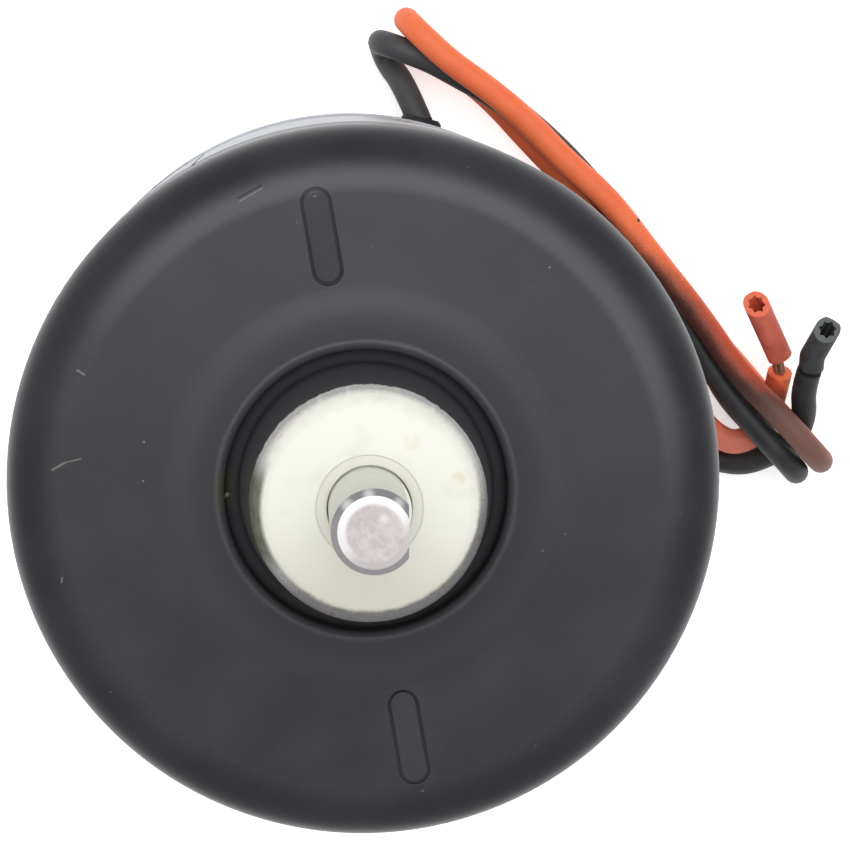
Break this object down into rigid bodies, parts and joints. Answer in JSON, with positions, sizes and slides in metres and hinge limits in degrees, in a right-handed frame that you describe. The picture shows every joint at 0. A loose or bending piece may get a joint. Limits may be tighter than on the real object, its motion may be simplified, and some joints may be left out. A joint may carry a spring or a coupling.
{
  "type": "blower motor",
  "caption": "Round permanent magnet direct current blower motor with a black front cap, a bare bearing boss, a flatted shaft and two flexible leads.",
  "frame": {"origin": "on the shaft line at the flat rear face the motor stands on", "axes": "+Z along the shaft toward its driving end, +X toward the right of the picture, square to the flat of the shaft, +Y toward the top of the picture"},
  "size_m": [0.0967, 0.0862, 0.1264],
  "materials": {
    "black_paint": "satin black paint",
    "zinc_steel": "zinc plated steel",
    "ferrite": "dull dark grey ceramic magnet",
    "spring_steel": "bright spring steel",
    "shaft_steel": "ground bright steel",
    "lamination_steel": "stacked bare laminations",
    "fibre_green": "pressed fibre board",
    "copper_enamel": "enamelled copper wire",
    "moulding_brown": "brown phenolic moulding",
    "copper": "bare copper",
    "bronze": "oiled sintered bronze",
    "felt": "oiled wool felt",
    "card_board": "brown laminate board",
    "brass_sheet": "plain sheet brass",
    "carbon": "copper graphite",
    "copper_braid": "braided copper",
    "black_rubber": "black rubber",
    "black_sleeve": "black vinyl insulation",
    "orange_sleeve": "orange vinyl insulation",
    "strand_copper": "tarnished copper strands"
  },
  "bodies": {
    "housing": {"front_cap": "black_paint", "yoke_tube": "zinc_steel", "rear_cover": "zinc_steel", "rear_dust_cap": "zinc_steel", "field_magnet_1": "ferrite", "field_magnet_2": "ferrite", "field_magnet_3": "ferrite", "field_magnet_4": "ferrite", "magnet_clips": "spring_steel", "front_bearing": "bronze", "rear_bearing": "bronze", "front_bearing_retainer": "spring_steel", "rear_bearing_retainer": "spring_steel", "front_oil_felt": "felt", "rear_oil_felt": "felt", "brush_card": "card_board", "card_pillars": "zinc_steel", "brush_holder_1": "brass_sheet", "brush_holder_2": "brass_sheet", "brush_spring_1": "spring_steel", "brush_spring_2": "spring_steel", "brush_pigtail_1": "copper_braid", "brush_pigtail_2": "copper_braid", "holder_rivets": "brass_sheet", "black_lead_grommet": "black_rubber", "orange_lead_grommet": "black_rubber", "black_inner_lead": "black_sleeve", "orange_inner_lead": "orange_sleeve", "black_lead": "black_sleeve", "orange_lead": "orange_sleeve", "black_insulation_slug": "black_sleeve", "orange_insulation_slug": "orange_sleeve", "black_copper_strands": "strand_copper", "orange_copper_strands": "strand_copper"},
    "rotor": {"motor_shaft": "shaft_steel", "armature_core": "lamination_steel", "rear_end_disc": "fibre_green", "front_end_disc": "fibre_green", "armature_windings": "copper_enamel", "commutator_hub": "moulding_brown", "commutator_bars": "copper", "spacer_sleeve": "zinc_steel", "oil_slinger": "zinc_steel", "front_thrust_washer": "spring_steel", "front_fibre_washer": "fibre_green", "rear_thrust_washer": "spring_steel", "rear_fibre_washer": "fibre_green"},
    "brush_1": {"carbon_brush_1": "carbon"},
    "brush_2": {"carbon_brush_2": "carbon"}
  },
  "joints": [
    {"name": "rotor_spin", "type": "hinge", "parent": "housing", "child": "rotor", "pos_m": [0, 0, 0.06], "axis": [0, 0, 1], "continuous": true},
    {"name": "brush_1_slide", "type": "slide", "parent": "housing", "child": "brush_1", "axis": [0.2419, 0.9703, 0], "range_m": [0, 0.003], "stiffness_N_per_m": 60, "springref_m": -0.004, "deforming": ["brush_spring_1", "brush_pigtail_1"]},
    {"name": "brush_2_slide", "type": "slide", "parent": "housing", "child": "brush_2", "axis": [0.9703, -0.2419, 0], "range_m": [0, 0.003], "stiffness_N_per_m": 60, "springref_m": -0.004, "deforming": ["brush_spring_2", "brush_pigtail_2"]}
  ]
}
